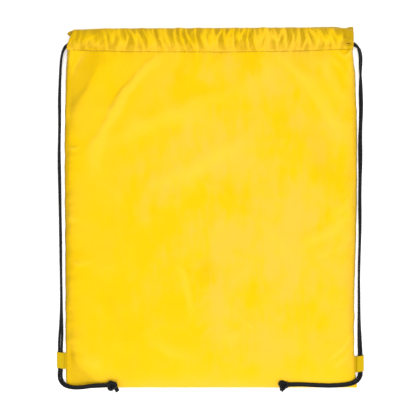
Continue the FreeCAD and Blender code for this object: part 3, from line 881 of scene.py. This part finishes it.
class BACKPACK_OT_shoulder_cords(bpy.types.Operator):
    """Run the two braided strands down each side of the bag, through its tab"""

    bl_idname = "backpack.shoulder_cords"
    bl_label = "Shoulder Cords"

    def execute(self, context):
        routes = {
            ("left", "front"): LEFT_FRONT_STRAND,
            ("left", "back"): LEFT_BACK_STRAND,
            ("right", "front"): RIGHT_FRONT_STRAND,
            ("right", "back"): RIGHT_BACK_STRAND,
        }
        thick, relief = cord().diameter, cord().relief
        for (side, layer), points in routes.items():
            x, top = points[-1][0], points[-1][1]
            mid = points[-1][2]
            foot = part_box(f"{side}_tab")[0].y
            line = route(points + [(x, top - 0.008, mid), (x, foot, mid)])
            name = f"{side}_{layer}_shoulder_strand"
            piece = add_piece(name, tube(line, thick, relief=relief), braid())
            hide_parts(f"{side}_cord_{layer}_strand", f"{side}_tab_cords")
            top + 0.018
            top - 0.0005
            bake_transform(piece)

            below = route([(x, foot + 0.001, mid), (x, foot - 0.002, mid), (x, foot - 0.0042, mid + 0.0002)])
            stub = add_piece(f"{name}_below_tab", tube(below, thick, relief=relief), braid())
            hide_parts(f"{side}_tab_cords")
            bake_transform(stub)
            tuple(line[0])
            round(length_of(line), 4)
        return {"FINISHED"}


class BACKPACK_OT_cord_ends(bpy.types.Operator):
    """Lead the strands from each tab over the bottom corner to their knot, with its two cut tails"""

    bl_idname = "backpack.cord_ends"
    bl_label = "Cord Ends and Knots"

    def execute(self, context):
        thick, relief = cord().diameter, cord().relief
        sides = {
            "left": (LEFT_END_OUTER, LEFT_END_INNER, LEFT_KNOT, LEFT_TAILS, 0.0),
            "right": (RIGHT_END_OUTER, RIGHT_END_INNER, RIGHT_KNOT, RIGHT_TAILS, 2.2),
        }
        for side, (outer, inner, middle, tails, turn) in sides.items():
            body = f"{side}_cord_end"
            spin = math.cos(turn), math.sin(turn)
            loops = [
                Vector(middle) + 1.16 * Vector((x * spin[0] - y * spin[1], x * spin[1] + y * spin[0], 0.9 * z))
                for x, y, z in KNOT_LOOPS
            ]
            wraps = tube(route(loops, cyclic=True), thick * 1.32, relief=relief)
            knot = add_piece(f"{side}_overhand_knot", wraps, braid())
            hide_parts(f"{side}_knot")
            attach(knot, body)
            cut = [tube(route(t), thick * 0.92, relief=relief, rounded_end=True) for t in tails]
            ends = add_piece(f"{side}_cut_tails", joined(cut), braid())
            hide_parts(f"{side}_knot_tails")
            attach(ends, body)
            for word, points in (("outer", outer), ("inner", inner)):
                line = route(points)
                piece = add_piece(f"{side}_{word}_cord_end", tube(line, thick, relief=relief), braid())
                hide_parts(f"{body}_{word}")
                x, y, _ = points[0]
                y - 0.0015
                y - 0.008
                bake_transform(piece)
                tuple(line[0])
                round(length_of(line), 4)
                [knot, ends] if word == "outer" else []
        return {"FINISHED"}


class BACKPACK_OT_casing_cords(bpy.types.Operator):
    """Run both drawcords through both casings and turn each at its far end"""

    bl_idname = "backpack.casing_cords"
    bl_label = "Cords in the Casings"

    def execute(self, context):
        thick = cord().diameter
        for side, lane, turn in (("left", LANE_UNDER, TURN), ("right", mirrored(LANE_OVER), mirrored(TURN))):
            sign = -1 if side == "left" else 1
            lane = [(sign * 0.1668, lane[0][1], lane[0][2])] + lane[1:]
            back = add_piece(
                f"{side}_drawcord_in_back_casing", tube(route(lane), thick, 0.002, 12), braid()
            )
            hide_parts(f"{side}_drawcord_back_run")
            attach(back, "bag")
            whole = tube(route(raised(lane, FRONT_FLOOR)), thick, 0.002, 12)
            bmesh.ops.bisect_plane(
                whole, geom=whole.verts[:] + whole.edges[:] + whole.faces[:], plane_co=(0, 0, 0), plane_no=(1, 0, 0)
            )
            for half in add_halves(f"{side}_drawcord_in_front_casing", whole, braid()):
                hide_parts(f"{side}_drawcord_front_run")
            bend = add_piece(f"{side}_drawcord_turn_at_end", tube(route(turn), thick, 0.001, 16), braid())
            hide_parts(f"{side}_drawcord_turn")
            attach(bend, "bag")
        return {"FINISHED"}


class BACKPACK_OT_panels(bpy.types.Operator):
    """Lay the back panel flat and the crowned, creased front panel over it"""

    bl_idname = "backpack.panels"
    bl_label = "Panels"

    def execute(self, context):
        thickness = cloth().thickness
        depth = stitch_line(0.166) - BOTTOM
        tuck = 0.0016

        def spread(share):
            """Columns, closer together towards the edges."""
            q = 2 * share - 1
            return 0.7 * q + 0.3 * math.sin(q * math.pi / 2)

        def front(across, along):
            q = spread(across)
            x = q * 0.1701
            y = BOTTOM + along * (stitch_line(x) + tuck - BOTTOM)
            x = q * half_width(q, y)
            return Vector((x, y, front_height(x, y)))

        def back(across, along):
            q = 2 * across - 1
            y = BOTTOM + along * (0.1850 - BOTTOM)
            x = q * half_width(q, y)
            inset = min(half_width(q, y) - abs(x), y - BOTTOM)
            lift = 0.00012 * noise.noise(Vector((x * 30, y * 30, 8.0))) - 0.00012
            return Vector((x, y, CLOTH_FLOOR + lift * smooth(inset / 0.01)))

        whole = thickened(shaped_grid(176, 206, front, (0.340, depth)), thickness)
        mark_folds(whole)
        for half in add_halves("front_panel", whole, panel_cloth()):
            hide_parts("front_panel")
        piece = add_piece(
            "back_panel_cloth", thickened(shaped_grid(110, 130, back, (0.340, depth)), thickness),
            panel_cloth(),
        )
        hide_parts("back_panel")
        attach(piece, "bag")
        return {"FINISHED"}


class BACKPACK_OT_casings(bpy.types.Operator):
    """Fold the two casings along the mouth, gathered over their cords"""

    bl_idname = "backpack.casings"
    bl_label = "Casings"

    def execute(self, context):
        rows = 40
        section = evenly(route(CASING_SECTION), length_of(route(CASING_SECTION)) / rows)
        thickness = cloth().thickness
        rise = cloth().gather_height

        def front(across, along):
            _, share, height = section[round(along * rows)]
            q = 2 * across - 1
            x = q * 0.1665
            line = stitch_line(x)
            fold = between(FRONT_FOLD, x) + 0.0008 * noise.noise(Vector((x * 90, 6.0, 0.0)))
            fold -= 0.0010 * math.exp(-((x + 0.154) / 0.002) ** 2) + 0.0016 * smooth((x - 0.1585) / 0.007)
            left = 0.1680 - 0.0082 * max((share - 0.12) / 0.88, 0.0)
            right = 0.1646 - 0.0018 * smooth((share - 0.80) / 0.2)
            x = q * (right if q > 0 else left)
            y = line - 0.0004 + share * (fold - line)
            z = FRONT_FLOOR + height
            on_top = along < 0.5
            ridge = gather(x, y, 3.1)
            full = smooth(share / 0.20)
            if on_top:
                base = front_height(x, line) + 0.0003
                z = z + (max(base, FRONT_FLOOR + 0.0009) - z) * (1 - smooth(share / 0.16))
                z += rise * (ridge - 0.15) * full + 0.0008 * (ridge - 0.2) * (1 - full) * smooth(share / 0.08)
                z += 1.5 * fold_relief(x, y) + crumple(x, y) * full
                y += 0.0005 * ridge * full
            return Vector((x, y, z))

        def back(across, along):
            _, share, height = section[round(along * rows)]
            q = 2 * across - 1
            x = q * (0.1655 if q > 0 else between(BACK_LEFT_END, share))
            fold = between(BACK_FOLD, x) + 0.0004 * noise.noise(Vector((x * 60, 9.0, 0.0)))
            y = 0.1850 + share * (fold - 0.1850)
            z = height
            if along < 0.5:
                z += 0.5 * rise * (gather(x, y, 8.4) - 0.2) * smooth(share / 0.4)
            return Vector((x, y, max(z, thickness)))

        whole = thickened(shaped_grid(252, rows, front, (0.333, 0.056)), thickness)
        mark_gathers(whole, 3.1)
        for half in add_halves("front_casing", whole, casing_cloth()):
            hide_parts("front_casing")
        whole = thickened(shaped_grid(200, rows, back, (0.333, 0.056)), thickness)
        mark_gathers(whole, 8.4)
        piece = add_piece("back_casing_cloth", whole, back_casing_cloth())
        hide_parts("back_casing")
        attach(piece, "bag")
        return {"FINISHED"}


class BACKPACK_OT_tabs(bpy.types.Operator):
    """Fold a tab of cloth round the two strands at each bottom corner, its ends sewn into the side seam"""

    bl_idname = "backpack.tabs"
    bl_label = "Tabs"

    def execute(self, context):
        rows = 44
        section = evenly(route(TAB_SECTION), length_of(route(TAB_SECTION)) / rows)
        thickness = cloth().thickness
        for side, sign in (("left", -1), ("right", 1)):
            low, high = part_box(f"{side}_tab")
            middle, half = (low.y + high.y) / 2, (high.y - low.y) / 2
            inward = 0.0026 if sign > 0 else 0.0

            def loop(across, along):
                x, _, z = section[round(along * rows)]
                q = sign * (2 * across - 1)
                crease = noise.noise(Vector((q * 1.7, along * 9.0, sign * 3.0)))
                waist = 1 - 0.035 * smooth((along - 0.2) / 0.3) * smooth((0.9 - along) / 0.3)
                y = middle + q * half * waist + 0.0008 * (x - 0.175) / 0.005
                z += 0.0003 * crease * smooth((x - 0.171) / 0.004)
                return Vector((sign * (x - inward), y, max(z, thickness)))

            piece = add_piece(
                f"{side}_tab_loop", thickened(shaped_grid(16, rows, loop, (2 * half, 0.028)), thickness),
                tab_cloth(),
            )
            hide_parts(f"{side}_tab")
            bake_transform(piece)

            low_tail, high_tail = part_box(f"{side}_tab_tail")

            def tail(across, along):
                x = low_tail.x + across * (high_tail.x - low_tail.x) - inward
                y = low_tail.y + along * (high_tail.y - low_tail.y)
                wave = 0.00012 * noise.noise(Vector((x * 200, y * 200, 1.0)))
                return Vector((x, y, high_tail.z - 0.0001 + wave))

            sewn = add_piece(
                f"{side}_tab_sewn_end", thickened(shaped_grid(8, 16, tail, (0.0075, 0.019)), thickness),
                inside_cloth(),
            )
            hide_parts(f"{side}_tab_tail")
            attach(sewn, "bag")
        return {"FINISHED"}


class BACKPACK_OT_seams(bpy.types.Operator):
    """Lay the seam allowances that the sewn sides have inside the bag"""

    bl_idname = "backpack.seams"
    bl_label = "Seam Allowances"

    def execute(self, context):
        thickness = cloth().thickness
        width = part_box("bottom_seam")[1].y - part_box("bottom_seam")[0].y
        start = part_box("bottom_seam")[0].y - BOTTOM
        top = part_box("left_side_seam")[1].z

        def lie(x, y, seed):
            return Vector((x, y, top - 0.0001 + 0.0001 * noise.noise(Vector((x * 120, y * 120, seed)))))

        for side, sign in (("left", -1), ("right", 1)):
            low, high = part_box(f"{side}_side_seam")

            def strip(across, along):
                y = low.y + along * (high.y - low.y)
                inset = start + (across if sign < 0 else 1 - across) * width
                return lie(sign * (half_width(sign, y) - inset), y, 2.0)

            piece = add_piece(
                f"{side}_seam_allowance", thickened(shaped_grid(5, 150, strip, (width, high.y - low.y)), thickness),
                inside_cloth(),
            )
            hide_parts(f"{side}_side_seam")
            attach(piece, "bag")
        low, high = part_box("bottom_seam")

        def foot(across, along):
            return lie(low.x + across * (high.x - low.x), low.y + along * width, 5.0)

        piece = add_piece(
            "bottom_seam_allowance", thickened(shaped_grid(150, 5, foot, (high.x - low.x, width)), thickness),
            inside_cloth(),
        )
        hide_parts("bottom_seam")
        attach(piece, "bag")
        return {"FINISHED"}


class BACKPACK_OT_stitches(bpy.types.Operator):
    """Sew the casings down and the seams shut, stitch by stitch"""

    bl_idname = "backpack.stitches"
    bl_label = "Stitches"

    def execute(self, context):
        line = []
        for step in range(-82, 83):
            x = step * 0.002
            y = stitch_line(x) - 0.0005
            line.append(Vector((x, y, max(front_height(x, y), FRONT_FLOOR) + 0.0002)))
        row = stitches(line)
        for side, word in ((-1, "left"), (1, "right")):
            half = row.copy()
            away = [f for f in half.faces if f.calc_center_median().x * side < 0]
            bmesh.ops.delete(half, geom=away, context="FACES")
            piece = add_piece(f"front_casing_stitches_{word}_half", half, sewing_thread())
            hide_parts("front_casing_stitch")
            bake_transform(piece)
        row.free()
        for node, name in (
            ("back_casing_stitch", "back_casing_stitches"),
            ("left_side_stitch", "left_seam_stitches"),
            ("right_side_stitch", "right_seam_stitches"),
            ("bottom_stitch", "bottom_seam_stitches"),
        ):
            low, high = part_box(node)
            middle = (low + high) / 2
            if high.x - low.x > 0.1:
                sewn = [Vector((x, middle.y, middle.z)) for x in (low.x, high.x)]
            else:
                sign = -1 if middle.x < 0 else 1
                heights = [low.y + t * (high.y - low.y) / 60 for t in range(61)]
                sewn = [Vector((sign * (half_width(sign, y) - 0.0114), y, middle.z)) for y in heights]
            piece = add_piece(name, stitches(sewn), sewing_thread())
            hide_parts(node)
            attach(piece, "bag")
        return {"FINISHED"}


class BACKPACK_PT_sidebar(bpy.types.Panel):
    """The backpack's settings and pieces"""

    bl_idname = "BACKPACK_PT_sidebar"
    bl_label = "Drawstring Backpack"
    bl_space_type = "VIEW_3D"
    bl_region_type = "UI"
    bl_category = "Backpack"

    def draw(self, context):
        for group in (context.scene.backpack_cloth, context.scene.backpack_cord, context.scene.backpack_stage):
            box = self.layout.box()
            for name in group.__annotations__:
                box.prop(group, name)
        for operator in OPERATORS:
            self.layout.operator(operator.bl_idname)


OPERATORS = (
    BACKPACK_OT_stage,
    BACKPACK_OT_shoulder_cords,
    BACKPACK_OT_cord_ends,
    BACKPACK_OT_casing_cords,
    BACKPACK_OT_panels,
    BACKPACK_OT_casings,
    BACKPACK_OT_tabs,
    BACKPACK_OT_seams,
    BACKPACK_OT_stitches,
)
SETTINGS = {"backpack_cloth": BackpackCloth, "backpack_cord": BackpackCord, "backpack_stage": BackpackStage}


def register():
    for kind in (*SETTINGS.values(), *OPERATORS, BACKPACK_PT_sidebar):
        bpy.utils.register_class(kind)
    for name, kind in SETTINGS.items():
        setattr(bpy.types.Scene, name, PointerProperty(type=kind))


def unregister():
    for name in SETTINGS:
        delattr(bpy.types.Scene, name)
    for kind in (BACKPACK_PT_sidebar, *reversed(OPERATORS), *reversed(SETTINGS.values())):
        bpy.utils.unregister_class(kind)


def main():
    register()
    bpy.ops.backpack.stage()
    bpy.ops.backpack.shoulder_cords()
    bpy.ops.backpack.cord_ends()
    bpy.ops.backpack.casing_cords()
    bpy.ops.backpack.panels()
    bpy.ops.backpack.casings()
    bpy.ops.backpack.tabs()
    bpy.ops.backpack.seams()
    bpy.ops.backpack.stitches()


if __name__ == "__main__":
    main()
